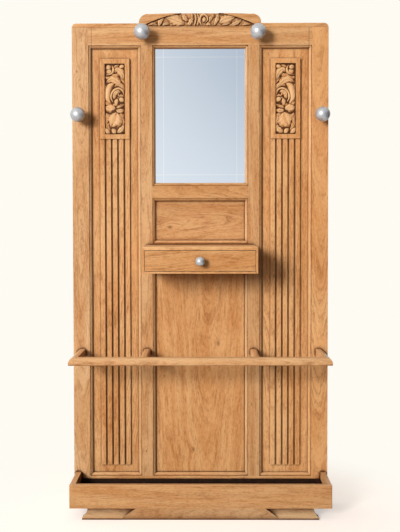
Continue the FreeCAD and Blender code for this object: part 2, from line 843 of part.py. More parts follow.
def build_trough_front():
    """The front board, half lapped over the ends of the side boards, its outer edges softened."""
    board = box(-half_trough, half_trough, trough_front_y, trough_back_of_front_y,
                trough_bottom_height, trough_top)
    rim = edges_where(board, lambda p: near(p.y, trough_front_y) and near(abs(p.x), half_trough))
    rim = [edge for edge in rim if edge.Length < half_trough]
    top_rim = edges_where(board, lambda p: near(p.y, trough_front_y) and near(p.z, trough_top))
    board = board.makeFillet(trough_soft_edge, rim + top_rim)
    lap = box(-half_trough - overrun, -trough_inner_x, trough_front_y + trough_lap,
              trough_back_of_front_y + overrun, trough_bottom_height - overrun, trough_top + overrun)
    return cut_all(board, both_sides(lap))


def build_left_trough_side():
    board = box(-half_trough, -trough_inner_x, trough_front_y + trough_lap, face_y,
                trough_bottom_height, trough_top)
    rim = edges_where(board, lambda p: near(p.x, -half_trough) and near(p.z, trough_top))
    return board.makeFillet(trough_soft_edge, rim)


def build_trough_floor():
    return box(-trough_inner_x, trough_inner_x, trough_back_of_front_y, face_y,
               trough_bottom_height, trough_bottom_height + trough_floor_thickness)


def rounded_tray_block(inset, z0, z1):
    """The tray's plan with rounded upright corners, drawn in by an inset."""
    x = trough_inner_x - tray_play - inset
    y0, y1 = trough_back_of_front_y + tray_play + inset, face_y - tray_play - inset
    block = box(-x, x, y0, y1, z0, z1)
    upright = [edge for edge in block.Edges if near(edge.Length, z1 - z0)]
    return block.makeFillet(tray_radius - inset, upright)


def build_drip_tray():
    """A thin metal tray that stands on the trough's floor."""
    z0 = trough_bottom_height + trough_floor_thickness
    outside = rounded_tray_block(0, z0, z0 + tray_height)
    return outside.cut(rounded_tray_block(tray_wall, z0 + tray_wall, z0 + tray_height + overrun))


# Foot
half_foot = half_frame - foot_end_inset
foot_cove_stop_top = half_foot - foot_cove_top_length
foot_cove_stop_bottom = half_foot - foot_cove_bottom_length


def cove_cutter():
    """The hollow worked on the left end of the foot's face, stopped by a slanting tongue."""
    y0, x0 = trough_front_y, -half_foot - overrun
    top, toe, deep = trough_bottom_height, foot_toe, foot_cove_depth
    low, high = vec(x0, y0, toe), vec(x0, y0 + deep, top)
    hollow = vec(x0, y0 + deep / 2 + foot_cove_sag, (toe + top) / 2 - foot_cove_sag)
    out_high, out_low = vec(x0, y0 - overrun, top), vec(x0, y0 - overrun, toe)
    edges = [arc(low, hollow, high), line(high, out_high), line(out_high, out_low), line(out_low, low)]
    cutter = wire_solid(edges, vec(-foot_cove_stop_top - x0, 0, 0))
    tongue = [(-foot_cove_stop_top, top + overrun), (-foot_cove_stop_bottom, toe - overrun),
              (-foot_cove_stop_top + overrun, toe - overrun), (-foot_cove_stop_top + overrun, top)]
    return cutter.cut(front_prism(tongue, y0 - 2 * overrun, y0 + deep + overrun))


def end_cutter():
    """The same hollow, less deep, returned across the left end of the foot."""
    y0, x0 = trough_front_y - overrun, -half_foot
    top, toe, deep = trough_bottom_height, foot_toe, foot_end_depth
    low, high = vec(x0, y0, toe), vec(x0 + deep, y0, top)
    hollow = vec(x0 + deep / 2 + foot_cove_sag, y0, (toe + top) / 2 - foot_cove_sag)
    out_high, out_low = vec(x0 - overrun, y0, top), vec(x0 - overrun, y0, toe)
    edges = [arc(low, hollow, high), line(high, out_high), line(out_high, out_low), line(out_low, low)]
    return wire_solid(edges, vec(0, foot_thickness + 2 * overrun, 0))


def build_foot_board():
    board = box(-half_foot, half_foot, trough_front_y, trough_front_y + foot_thickness,
                0, trough_bottom_height)
    return cut_all(board, both_sides(cove_cutter()) + both_sides(end_cutter()))


def build_left_foot_bearer():
    """A bearer from the foot to the back, under the trough's floor and the bottom rail."""
    x = foot_bearer_inset - half_foot
    return box(x - foot_bearer_thickness / 2, x + foot_bearer_thickness / 2,
               trough_front_y + foot_thickness, back_y, 0, trough_bottom_height)


# Pieces that have a twin on the right are built once and mirrored
def pair(left_name, shape):
    return {left_name: shape, left_name.replace("left", "right"): mirrored(shape)}


pieces = {
    "top_rail": build_top_rail(),
    "bottom_rail": build_bottom_rail(),
    "mirror_rail": build_mirror_rail(),
    "drawer_rail": build_drawer_rail(),
    "upper_centre_panel": panel_board(upper_opening),
    "lower_centre_panel": panel_board(lower_opening),
    "mirror_glass": build_mirror_glass(),
    "mirror_back_board": build_mirror_back_board(),
    "mirror_beads": build_mirror_beads(),
    "crest_board": build_crest_board(),
    "crest_dowels": Part.makeCompound(crest_dowels(0, 0)),
    "peg_stems": Part.makeCompound([build_peg_stem(*place) for place in ball_places.values()]),
    "case_top": build_case_top(),
    "case_floor": build_case_floor(),
    "case_screws": build_case_screws(),
    "drawer_stops": build_drawer_stops(),
    "drawer_front": build_drawer_front(),
    "drawer_back": build_drawer_back(),
    "drawer_floor": drawer_floor(panel_play),
    "drawer_knob": build_drawer_knob(),
    "knob_screw": knob_screw(0),
    "umbrella_rail": build_umbrella_rail(),
    "trough_front": build_trough_front(),
    "trough_floor": build_trough_floor(),
    "drip_tray": build_drip_tray(),
    "foot_board": build_foot_board(),
}
pieces.update({name: build_ball(*place) for name, place in ball_places.items()})
pieces.update(pair("left_stile", build_left_stile()))
pieces.update(pair("left_muntin", build_left_muntin()))
pieces.update(pair("left_reeded_panel", build_left_reeded_panel()))
pieces.update(pair("left_carved_block", build_left_carved_block()))
pieces.update(pair("left_cap", build_left_cap()))
pieces.update(pair("left_case_side", build_left_case_side()))
pieces.update(pair("left_drawer_side", build_left_drawer_side()))
pieces.update(pair("left_outer_arm", build_left_outer_arm()))
pieces.update(pair("left_inner_arm", build_left_inner_arm()))
pieces.update(pair("left_trough_side", build_left_trough_side()))
pieces.update(pair("left_foot_bearer", build_left_foot_bearer()))

for name, shape in pieces.items():
    shape.exportStep("parts/" + name + ".step")

whole = Part.makeCompound(list(pieces.values())).BoundBox
print("pieces", len(pieces), "size", round(whole.XLength, 1), round(whole.YLength, 1), round(whole.ZLength, 1))
print("middle", round(whole.Center.x, 2), round(whole.Center.y, 2), "lowest", round(whole.ZMin, 3))
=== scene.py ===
# %% [markdown]
# # A hall stand in light oak
#
# This lesson dresses a hall stand: a framed and panelled back with a mirror, two reeded side panels
# under carved vignettes, a carved crest, a glove drawer, ball pegs, an umbrella rail and a trough.
# The joinery comes ready made as exact solids, in metres, with the front towards -Y and the floor
# at z = 0. What is left for Blender is what a joiner leaves to the carver and the finisher: the
# carving itself, the figure of the oak, wax, metal, glass, light and a camera.

# %% Load the joinery
import math
import bmesh
import bpy
import numpy as np
from mathutils import Euler, Matrix, Vector


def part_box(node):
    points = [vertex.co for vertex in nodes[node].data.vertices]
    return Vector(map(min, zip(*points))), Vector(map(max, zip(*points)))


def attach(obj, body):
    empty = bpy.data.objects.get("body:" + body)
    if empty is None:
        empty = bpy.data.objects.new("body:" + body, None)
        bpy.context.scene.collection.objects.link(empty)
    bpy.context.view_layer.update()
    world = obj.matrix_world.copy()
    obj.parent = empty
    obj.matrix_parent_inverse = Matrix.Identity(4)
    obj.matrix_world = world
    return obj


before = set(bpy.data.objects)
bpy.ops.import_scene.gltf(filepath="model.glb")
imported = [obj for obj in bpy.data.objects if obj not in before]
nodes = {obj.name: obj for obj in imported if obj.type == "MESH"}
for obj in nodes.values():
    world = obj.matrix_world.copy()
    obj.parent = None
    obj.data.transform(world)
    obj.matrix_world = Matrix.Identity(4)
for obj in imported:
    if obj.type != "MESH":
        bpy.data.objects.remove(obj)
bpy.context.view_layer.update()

print("pieces of joinery:", len(nodes))

# %% [markdown]
# ## The camera
#
# The photograph was taken from 3.6 m away with a long lens, a little above the middle of the stand.
# The place and the lens were found by fitting the frame's straight edges. A lens of 82 mm on a
# 36 mm wide sensor gives the same narrow view, and a small shift sets the stand in the picture
# without tilting the camera further, which would make the uprights converge.

# %% Camera
camera_place = Vector((0.0156, -3.4738, 1.136))
degrees_down = 1.932
degrees_left = 0.454
degrees_rolled = -0.094

camera_data = bpy.data.cameras.new("camera")
camera_data.sensor_fit = "HORIZONTAL"
camera_data.sensor_width = 36.0
camera_data.lens = 81.83
camera_data.shift_x = 0.0072
camera_data.shift_y = -0.0383
camera = bpy.data.objects.new("camera", camera_data)
bpy.context.scene.collection.objects.link(camera)
aim = Euler((math.radians(90 - degrees_down), 0, math.radians(degrees_left))).to_matrix()
roll = Matrix.Rotation(math.radians(degrees_rolled), 3, "Z")
camera.matrix_world = Matrix.LocRotScale(camera_place, (aim @ roll).to_quaternion(), None)
bpy.context.scene.camera = camera
bpy.context.scene.view_settings.view_transform = "Standard"
print("camera at", [round(v, 3) for v in camera.location], "lens", camera_data.lens)

# %% [markdown]
# ## A short way to join shader nodes
#
# A procedural material is a small machine of nodes. Written out in full it is long and hard to
# read, so short helpers join nodes in one line each: `add` makes a node, `feed` gives an input a
# number or another node's output, `calc` does sums on numbers and `vector` on vectors. Colours are
# written as they look on a screen, from 0 to 255, and turned into the linear values that light
# adds up in. `tint` lays one colour over another where a mask says so.

# %% Helpers that make and join nodes
def feed(socket, value):
    """Gives an input a value, or links it to another node's output."""
    if isinstance(value, bpy.types.NodeSocket):
        socket.id_data.links.new(value, socket)
    else:
        socket.default_value = value


def add(tree, kind, inputs=(), **settings):
    """Makes a node, sets its settings and feeds its inputs in order."""
    node = tree.nodes.new(kind)
    for name, value in settings.items():
        setattr(node, name, value)
    for socket, value in zip(node.inputs, inputs):
        if value is not None:
            feed(socket, value)
    return node


def new_material(name):
    """A material, its nodes and its main shader."""
    material = bpy.data.materials.new(name)
    material.use_nodes = True
    tree = material.node_tree
    return material, tree, tree.nodes["Principled BSDF"]


print("nodes can be made and joined")

# %% Helpers that measure and do sums
def calc(tree, operation, *values):
    return add(tree, "ShaderNodeMath", values, operation=operation).outputs[0]


def vector(tree, operation, *values):
    """A sum on vectors. A length, a distance and a dot product come out as a number."""
    node = add(tree, "ShaderNodeVectorMath", values, operation=operation)
    return node.outputs[1 if operation in ("LENGTH", "DISTANCE", "DOT_PRODUCT") else 0]


def object_place(tree):
    """Where a point lies in the stand's own frame, in metres."""
    return add(tree, "ShaderNodeTexCoord").outputs["Object"]


def split(tree, place):
    """The three parts of a vector."""
    return add(tree, "ShaderNodeSeparateXYZ", (place,)).outputs


def soft_step(tree, value, start, full):
    """0 at start, 1 at full, a smooth slope between them, and level beyond."""
    inputs = (value, start, full, 0.0, 1.0)
    return add(tree, "ShaderNodeMapRange", inputs, interpolation_type="SMOOTHSTEP").outputs[0]


print("nodes can do sums")

# %% Helpers for colours
def screen(r, g, b):
    """A colour as seen on a screen, turned into linear light."""
    linear = [v / 255 / 12.92 if v <= 10 else ((v / 255 + 0.055) / 1.055) ** 2.4 for v in (r, g, b)]
    return (*linear, 1.0)


def mix_colour(tree, amount, a, b):
    """a where amount is 0, b where it is 1."""
    node = add(tree, "ShaderNodeMix", data_type="RGBA")
    feed(node.inputs[0], amount)
    feed(node.inputs[6], a)
    feed(node.inputs[7], b)
    return node.outputs[2]


def tint(tree, colour, mask, strength, stain):
    """Moves a colour towards a stain where the mask is 1, as far as strength says."""
    return mix_colour(tree, calc(tree, "MULTIPLY", mask, strength), colour, stain)


print("a middle grey in linear light:", round(screen(128, 128, 128)[0], 3))

# %% [markdown]
# ## Light, floor and surroundings
#
# The stand was photographed against plain cream paper. A broad lamp at the left in front throws
# the shadows of the balls and the drawer case to the right and a little down. A white wall on the
# left fills the rest softly from that side, so the mouldings that face right stay dark. The
# shadows in the photograph don't agree on one lamp, so this one is a compromise between them. A
# little light from behind lets the back be seen. The cream comes from what the camera, the metal
# and the glass see when they look past the stand, not from more light on it. The floor adds the
# same cream, and keeps the shadow of the foot: near the stand it is paper that takes a shadow,
# and further off it fades into plain cream.

# %% World
cream = screen(254, 251, 243)
white_wall = Vector((-0.90, -0.30, 0.42)).normalized()
wall_light = 0.80
room_light = 0.05
light_behind = 0.5
warm_white = (1.0, 0.90, 0.78, 1.0)


def seen_directly(tree):
    """1 for rays that come from the camera, a mirror or glass, 0 for light on its way to a surface."""
    path = add(tree, "ShaderNodeLightPath")
    seen = calc(tree, "MAXIMUM", path.outputs["Is Camera Ray"], path.outputs["Is Glossy Ray"])
    return calc(tree, "MAXIMUM", seen, path.outputs["Is Transmission Ray"])


world = bpy.data.worlds.new("studio")
bpy.context.scene.world = world
world.use_nodes = True
tree = world.node_tree
tree.nodes.clear()
way = add(tree, "ShaderNodeTexCoord").outputs["Generated"]
towards_wall = soft_step(tree, vector(tree, "DOT_PRODUCT", way, tuple(white_wall)), -0.05, 1.0)
behind = soft_step(tree, split(tree, way)[1], 0.0, 1.0)
level = calc(tree, "ADD", calc(tree, "MULTIPLY", towards_wall, wall_light), room_light)
level = calc(tree, "ADD", level, calc(tree, "MULTIPLY", behind, light_behind))
soft_light = add(tree, "ShaderNodeBackground", (warm_white, level))
paper = add(tree, "ShaderNodeBackground", (cream, 1.0))
sky = add(tree, "ShaderNodeMixShader", (seen_directly(tree), soft_light.outputs[0], paper.outputs[0]))
add(tree, "ShaderNodeOutputWorld", (sky.outputs[0],))
print("the white wall stands towards", [round(v, 2) for v in white_wall])

# %% A sheet of the studio
square = ((-1, -1), (1, -1), (1, 1), (-1, 1))


def studio_sheet(name, material_name, corners, only_reflected=False):
    """A flat sheet that isn't part of the stand. Gives back the nodes of its material."""
    mesh = bpy.data.meshes.new(name)
    mesh.from_pydata(corners, [], [(0, 1, 2, 3)])
    sheet = bpy.data.objects.new(name, mesh)
    bpy.context.scene.collection.objects.link(sheet)
    sheet.visible_camera = not only_reflected
    sheet.visible_diffuse = not only_reflected
    sheet.visible_shadow = not only_reflected
    material, tree, shader = new_material(material_name)
    tree.nodes.remove(shader)
    mesh.materials.append(material)
    print(name, "ready")
    return tree


# %% Floor
floor_half = 9.0
shadow_until = 0.45
cream_from = 1.1
paper_colour = (0.80, 0.725, 0.69, 1.0)
paper_glow = (0.53, 0.495, 0.468, 1.0)
bounce_colour = (0.22, 0.19, 0.16, 1.0)
tree = studio_sheet("floor", "floor_paper", [(x * floor_half, y * floor_half, 0.0) for x, y in square])
lit = add(tree, "ShaderNodeBsdfDiffuse", (paper_colour,))
glow = add(tree, "ShaderNodeEmission", (paper_glow, 1.0))
near = add(tree, "ShaderNodeAddShader", (lit.outputs[0], glow.outputs[0]))
far = add(tree, "ShaderNodeEmission", (cream, 1.0))
faded = soft_step(tree, vector(tree, "LENGTH", object_place(tree)), shadow_until, cream_from)
both = add(tree, "ShaderNodeMixShader", (faded, near.outputs[0], far.outputs[0]))
plain = add(tree, "ShaderNodeBsdfDiffuse", (bounce_colour,))
shown = add(tree, "ShaderNodeMixShader", (seen_directly(tree), plain.outputs[0], both.outputs[0]))
feed(tree.nodes["Material Output"].inputs[0], shown.outputs[0])
print("floor", floor_half * 2, "m wide, all cream from", cream_from, "m on")

# %% Lamp
lamp_way = Vector((-0.55, -1.0, 0.26)).normalized()
lamp_distance = 9.0
lamp_aim = Vector((0.0, 0.0, 1.1))
lamp_data = bpy.data.lights.new("key", "AREA")
lamp_data.shape = "ELLIPSE"
lamp_data.size = 2.5
lamp_data.size_y = 3.0
lamp_data.energy = 720
lamp_data.color = (1.0, 0.985, 0.96)
lamp = bpy.data.objects.new("key", lamp_data)
bpy.context.scene.collection.objects.link(lamp)
lamp.location = lamp_aim + lamp_distance * lamp_way
lamp.rotation_euler = lamp_way.to_track_quat("Z", "Y").to_euler()
print("lamp at", [round(v, 2) for v in lamp.location])

# %% [markdown]
# ## Two cards for the glass and the metal
#
# A mirror shows the room in front of it. Here a big card, grey in the middle and cream at its
# edges, hangs high up in front and gives the glass a darker upper right corner. A ball shows the
# whole room, and the dark card beside the stand gives it its dark side. The camera doesn't see
# either card, and neither throws a shadow, so they change nothing but reflections.

# %% A grey card for the mirror
card_half = 4.0
card_middle = Vector((2.0, -6.0, 4.05))
card_grey = (0.50, 0.53, 0.565, 1.0)


def glow_with(tree, colour):
    """The sheet shines with this colour at strength 1, whatever light falls on it."""
    glow = add(tree, "ShaderNodeEmission", (colour, 1.0))
    feed(tree.nodes["Material Output"].inputs[0], glow.outputs[0])


corners = [card_middle + Vector((x * card_half, 0, z * card_half)) for x, z in square]
tree = studio_sheet("grey_card", "grey_card", corners, only_reflected=True)
away = vector(tree, "DISTANCE", object_place(tree), tuple(card_middle))
glow_with(tree, mix_colour(tree, soft_step(tree, away, card_half * 0.98, card_half * 0.25), cream, card_grey))
print("grey card", card_half * 2, "m wide")

# %% A dark card for the balls
dark_card_x = 2.4
dark_card_front, dark_card_back = -5.0, 1.5
dark_card_foot, dark_card_top = -0.5, 2.6
foot_tone = (0.03, 0.03, 0.04, 1.0)
top_tone = (0.10, 0.10, 0.12, 1.0)
corners = [
    (dark_card_x, dark_card_front, dark_card_foot), (dark_card_x, dark_card_back, dark_card_foot),
    (dark_card_x, dark_card_back, dark_card_top), (dark_card_x, dark_card_front, dark_card_top),
]
tree = studio_sheet("dark_card", "dark_card", corners, only_reflected=True)
height = soft_step(tree, split(tree, object_place(tree))[2], 0.0, dark_card_top)
glow_with(tree, mix_colour(tree, height, foot_tone, top_tone))
print("dark card at x", dark_card_x)

# %% [markdown]
# ## The oak: a place in a trunk
#
# Oak shows four things. Growth rings: a board is a slice through nested cones, so its rings run
# straight where the slice is near a radius and open into arches where it is flat sawn. Streaks:
# long soft bands, lighter and darker, along the grain. Pores: fine dark dashes in the early wood
# of each ring. Knots, which the rings flow round. The machine below measures how far a point lies
# from the pith of a bent, noisy trunk, and everything else follows from that distance. Being
# solid, the figure runs true over every edge, moulding and reed, which a flat picture wrapped
# round a piece can't do.

# %% Across, through and along the grain
GRAIN_AXES = {"upright": (0, 1, 2), "crosswise": (2, 1, 0), "fore_and_aft": (0, 2, 1), "side": (2, 0, 1)}


def grain_place(tree, grain, shift):
    """The place in the board: across, through and along the grain, moved to its own spot in a trunk."""
    parts = split(tree, object_place(tree))
    turned = add(tree, "ShaderNodeCombineXYZ", [parts[axis] for axis in GRAIN_AXES[grain]])
    return vector(tree, "ADD", turned.outputs[0], shift)


def stretched_noise(tree, place, scale, detail=2.0, rough=0.5, kind="value"):
    """Noise with its own scale across, through and along the grain, in changes per metre."""
    scaled = vector(tree, "MULTIPLY", place, scale)
    noise = add(tree, "ShaderNodeTexNoise", (scaled, None, 1.0, detail, rough))
    return noise.outputs["Color" if kind == "vector" else "Fac"]


print("ways to lay a board:", ", ".join(GRAIN_AXES))

# %% Knots
knot_stretch = (1.0, 0.0, 0.6)


def knot_field(tree, place, knots):
    """How strongly a point feels the nearest knot: 1 at its heart, fading outwards."""
    total = None
    for across, along, size in knots:
        offset = vector(tree, "SUBTRACT", place, (across, 0.0, along))
        distance = vector(tree, "LENGTH", vector(tree, "MULTIPLY", offset, knot_stretch))
        fading = calc(tree, "MULTIPLY", calc(tree, "DIVIDE", distance, size), -1.0)
        pull = calc(tree, "EXPONENT", fading)
        total = pull if total is None else calc(tree, "MAXIMUM", total, pull)
    return total


print("knots reach", round(1 / knot_stretch[2], 1), "times as far along the grain")

# %% Distance from the pith
bend_reach = 0.06
ripple_reach = 0.014
mean_wander = (bend_reach + ripple_reach) / 2
knot_push = 0.02


def trunk(tree, place, shift, pith, taper, knot):
    """The distance from a bent pith, and that distance with the place across and along the grain."""
    bend = stretched_noise(tree, place, (2.6, 2.6, 0.8), 2.0, 0.5, "vector")
    ripple = stretched_noise(tree, place, (16.0, 16.0, 5.0), 3.0, 0.55, "vector")
    bend = vector(tree, "MULTIPLY", bend, (bend_reach, bend_reach, 0.0))
    ripple = vector(tree, "MULTIPLY", ripple, (ripple_reach, ripple_reach, 0.0))
    bent = vector(tree, "ADD", vector(tree, "ADD", place, bend), ripple)
    pith_place = (shift[0] + pith[0] + mean_wander, shift[1] + pith[1] + mean_wander, 0.0)
    radial = vector(tree, "MULTIPLY", vector(tree, "SUBTRACT", bent, pith_place), (1.0, 1.0, 0.0))
    along = split(tree, place)[2]
    radius = calc(tree, "SUBTRACT", vector(tree, "LENGTH", radial), calc(tree, "MULTIPLY", along, taper))
    if knot is not None:
        radius = calc(tree, "ADD", radius, calc(tree, "MULTIPLY", knot, knot_push))
    across = split(tree, bent)[0]
    return radius, add(tree, "ShaderNodeCombineXYZ", (radius, across, along)).outputs[0]


print("the pith wanders by", mean_wander * 2, "m at most")

# %% [markdown]
# ## The oak: rings, pores and colours
#
# Each ring starts with open early wood, which takes the stain, and ends with dense late wood. Some
# years are faint. A colour ramp along one year gives that rhythm, and noise along the grain makes
# some years stronger. Four colours, pale, honey, brown and rusty, are laid over each other where
# the rings, streaks and flecks say. One number, ripe, moves a board from pale straw to orange
# brown, so neighbouring boards differ as they do in the photograph.

# %% Rings and pores
ring_width = 0.0042


def rings_and_pores(tree, radius, in_trunk):
    """Early wood, from 0 to 1, and the pores in it."""
    early = add(tree, "ShaderNodeValToRGB", (calc(tree, "FRACT", calc(tree, "DIVIDE", radius, ring_width)),))
    ramp = early.color_ramp
    ramp.interpolation = "EASE"
    ramp.elements[0].color = (0.85, 0.85, 0.85, 1)
    ramp.elements[1].color = (1, 1, 1, 1)
    for spot, level in ((0.30, 0.30), (0.60, 0.0), (0.86, 0.1)):
        ramp.elements.new(spot).color = (level, level, level, 1)
    year = stretched_noise(tree, in_trunk, (60.0, 4.0, 2.5), 2.0, 0.6)
    ring = calc(tree, "MULTIPLY", early.outputs[0], soft_step(tree, year, 0.34, 0.70))
    dashes = stretched_noise(tree, in_trunk, (1300.0, 300.0, 42.0), 1.0, 0.5)
    pore = calc(tree, "MULTIPLY", soft_step(tree, dashes, 0.57, 0.70), soft_step(tree, ring, 0.0, 0.35))
    return ring, pore


print("rings", ring_width * 1000, "mm wide")

# %% Colours of the wood
OAK_COLOURS = {
    "pale": (231, 181, 126),
    "honey": (212, 153, 96),
    "brown": (158, 94, 44),
    "rusty": (205, 134, 79),
}
YOUNG_AND_OLD = ((0.96, 1.01), (1.00, 0.93), (1.10, 0.84))
pore_brown = screen(112, 64, 30)
knot_brown = screen(104, 62, 33)


def aged(tone, ripe):
    """The four colours of one board, in the order of OAK_COLOURS."""
    age = [tone * (1 - ripe) * young + tone * ripe * old for young, old in YOUNG_AND_OLD]
    return [[c * a for c, a in zip(screen(*rgb), age)] + [1.0] for rgb in OAK_COLOURS.values()]


def wood_colour(tree, place, in_trunk, ring, streak, tone, ripe):
    """The colour of bare wood, before pores, knots and years."""
    pale, honey, brown, rusty = aged(tone, ripe)
    broad = stretched_noise(tree, in_trunk, (40.0, 9.0, 2.0), 2.0, 0.5)
    patch = stretched_noise(tree, place, (26.0, 26.0, 8.0), 3.0, 0.55)
    fleck = stretched_noise(tree, place, (190.0, 190.0, 70.0), 3.0, 0.7)
    colour = mix_colour(tree, soft_step(tree, broad, 0.3, 0.7), pale, honey)
    colour = tint(tree, colour, soft_step(tree, patch, 0.46, 0.72), 0.30, rusty)
    colour = tint(tree, colour, ring, 0.50, brown)
    for figure, start, full, strength, stain in (
            (streak, 0.50, 0.68, 0.46, brown), (streak, 0.48, 0.28, 0.45, pale),
            (fleck, 0.50, 0.72, 0.40, brown), (fleck, 0.50, 0.30, 0.42, pale)):
        colour = tint(tree, colour, soft_step(tree, figure, start, full), strength, stain)
    return colour


print("colours of oak:", ", ".join(OAK_COLOURS))

# %% [markdown]
# ## The oak: the years, and painted light and shade
#
# Faces turned to the upper left are painted paler, as painted light, and faces turned away are
# painted darker, as painted shade. Old wax and painted shade darken the corners, a thin dark seam
# shows where two boards meet, and in the carving the ground is darkened as painted shade and the
# tops are made paler as a painted highlight. All of it follows from the shape and from where a
# face looks in the room, so it stays on the wood when the camera moves.

# %% Seams, painted light and painted shade
painted_light_way = (-0.72, 0.0, 0.69)
seam_edge, seam_core = 0.0024, 0.0010
seam_brown = screen(84, 48, 24)
painted_shade_brown = screen(88, 43, 15)
painted_light_pale = screen(246, 210, 164)


def with_seams(tree, colour, joints):
    """A thin dark line where two boards meet, at each (axis, place) of joints."""
    parts = split(tree, object_place(tree))
    for axis, where in joints:
        beside = calc(tree, "ABSOLUTE", calc(tree, "SUBTRACT", parts[axis], where))
        colour = tint(tree, colour, soft_step(tree, beside, seam_edge, seam_core), 0.4, seam_brown)
    return colour


def with_painted_light_and_shade(tree, colour):
    """Paints shade on faces turned away from the upper left, and paints light on faces turned to it."""
    facing = add(tree, "ShaderNodeNewGeometry").outputs["Normal"]
    towards_painted_light = vector(tree, "DOT_PRODUCT", facing, painted_light_way)
    # Painted shade: faces turned away from the upper left are darkened.
    colour = tint(tree, colour, soft_step(tree, towards_painted_light, -0.08, -0.52), 0.52, painted_shade_brown)
    # Painted light: faces turned to the upper left are made paler.
    return tint(tree, colour, soft_step(tree, towards_painted_light, 0.10, 0.60), 0.27, painted_light_pale)


# The way from which the painted light and shade are laid.
print("the window is towards", painted_light_way)

# %% Wax, painted shade and a painted highlight
# The corner darkening is old wax and painted shade together.
wide_wax, narrow_wax, carving_wax = 0.030, 0.009, 0.005
# Painted shade on a sunk ground, and a painted highlight on the tops of the carving.
ground_shade_start, ground_shade_full = 0.0018, 0.0002
top_highlight_start, top_highlight_full = 0.0030, 0.0064
wax_brown = screen(68, 24, 0)
painted_ground_shade = screen(64, 28, 4)
painted_top_highlight = screen(247, 206, 156)


def wax_in_corners(tree, colour, reach, strength, shut, clear):
    """Old wax and dust, and painted shade, darken the corners that a polishing cloth doesn't reach."""
    corner = add(tree, "ShaderNodeAmbientOcclusion", samples=6)
    feed(corner.inputs["Distance"], reach)
    # Painted shade, mixed with old wax, where the corner hides the surface.
    corner_shade_mask = calc(tree, "SUBTRACT", 1.0, soft_step(tree, corner.outputs["AO"], shut, clear))
    return tint(tree, colour, corner_shade_mask, strength, wax_brown)


def with_wax(tree, colour, wax, sunk, carved):
    """Old wax and painted shade in the corners. A sunk ground at y = sunk gets painted shade, and carving a
    painted highlight on its tops.
    """
    if sunk:
        depth = split(tree, object_place(tree))[1]
        ground_shade_mask = soft_step(tree, depth, sunk - ground_shade_start, sunk - ground_shade_full)
        # Painted shade: the sunk ground is darkened.
        colour = tint(tree, colour, ground_shade_mask, 0.88, painted_ground_shade)
    if carved:
        top_highlight_mask = soft_step(tree, depth, sunk - top_highlight_start, sunk - top_highlight_full)
        # Painted highlight: the tops of the carving are made paler.
        colour = tint(tree, colour, top_highlight_mask, 0.48, painted_top_highlight)
        # Painted shade and old wax in the carving's crevices.
        return wax_in_corners(tree, colour, carving_wax, 1.0, 0.45, 1.0)
    # Old wax and painted shade in the corners of a plain board.
    colour = wax_in_corners(tree, colour, wide_wax, 0.85 * wax, 0.44, 0.88)
    return wax_in_corners(tree, colour, narrow_wax, wax, 0.52, 0.98)


# The reach of the corner darkening, which is old wax and painted shade.
print("wax reaches", wide_wax * 1000, "mm from a corner, and is darkest in the last", narrow_wax * 1000, "mm")

# %% One board of oak
arris = 0.0009
grain_depth = 0.00025


# Each board sets the strength of the old wax and painted shade in its corners.
def oak(name, grain="upright", shift=(0.0, 0.0, 0.0), pith=(0.0, 0.09), tone=1.0, ripe=0.5, knots=(),
        taper=0.03, joints=(), wax=1.0, sunk=None, carved=False):
    """One board of waxed light oak. pith is the trunk's middle, across and behind the board."""
    material, tree, shader = new_material(name)
    place = grain_place(tree, grain, shift)
    knot = knot_field(tree, place, [(shift[0] + x, shift[2] + z, size) for x, z, size in knots])
    radius, in_trunk = trunk(tree, place, shift, pith, taper, knot)
    ring, pore = rings_and_pores(tree, radius, in_trunk)
    streak = stretched_noise(tree, in_trunk, (170.0, 18.0, 12.0), 4.0, 0.62)
    colour = wood_colour(tree, place, in_trunk, ring, streak, tone, ripe)
    colour = tint(tree, colour, pore, 0.5, pore_brown)
    if knot is not None:
        colour = tint(tree, colour, soft_step(tree, knot, 0.35, 0.85), 0.6, knot_brown)
    # Painted light and painted shade by which way each face looks, laid over the dark seams.
    colour = with_painted_light_and_shade(tree, with_seams(tree, colour, joints))
    # Old wax and painted shade in the corners, painted shade on a sunk ground, and a painted highlight on
    # carved tops.
    feed(shader.inputs["Base Color"], with_wax(tree, colour, wax, sunk, carved))
    rough = calc(tree, "ADD", calc(tree, "MULTIPLY", streak, 0.16), calc(tree, "MULTIPLY", pore, 0.2))
    feed(shader.inputs["Roughness"], calc(tree, "ADD", rough, 0.24))
    feed(shader.inputs["Specular IOR Level"], 0.10)
    bump = add(tree, "ShaderNodeBump", (0.35, grain_depth))
    feed(bump.inputs["Height"], calc(tree, "SUBTRACT", calc(tree, "MULTIPLY", ring, -0.25), pore))
    feed(bump.inputs["Normal"], add(tree, "ShaderNodeBevel", (arris,), samples=4).outputs[0])
    feed(shader.inputs["Normal"], bump.outputs[0])
    return material


print("oak ready, with its arrises rounded by", arris * 1000, "mm")

# %% [markdown]
# ## One trunk for each board
#
# A joiner picks boards one by one, and so does this step: each gets another trunk, and another
# place in it. The pith is set where the photograph asks for arches or for straight grain, and the
# knots are where it shows them. A panel and the carved block on it come from one board, so the
# figure runs on. The boards inside the drawer and behind the mirror get plainer ones.

# %% Giving oak to the joinery
def cover(node_names, material):
    """Gives a material to joinery nodes."""
    for node_name in node_names:
        slots = nodes[node_name].data.materials
        slots.clear()
        slots.append(material)
    print(material.name, "on", ", ".join(node_names))


def board(material_name, node_names, *figure, **finish):
    """Gives the oak of one board to the joinery nodes that are cut from it."""
    cover(node_names, oak(material_name, *figure, **finish))


print("nodes to cover:", len(nodes))

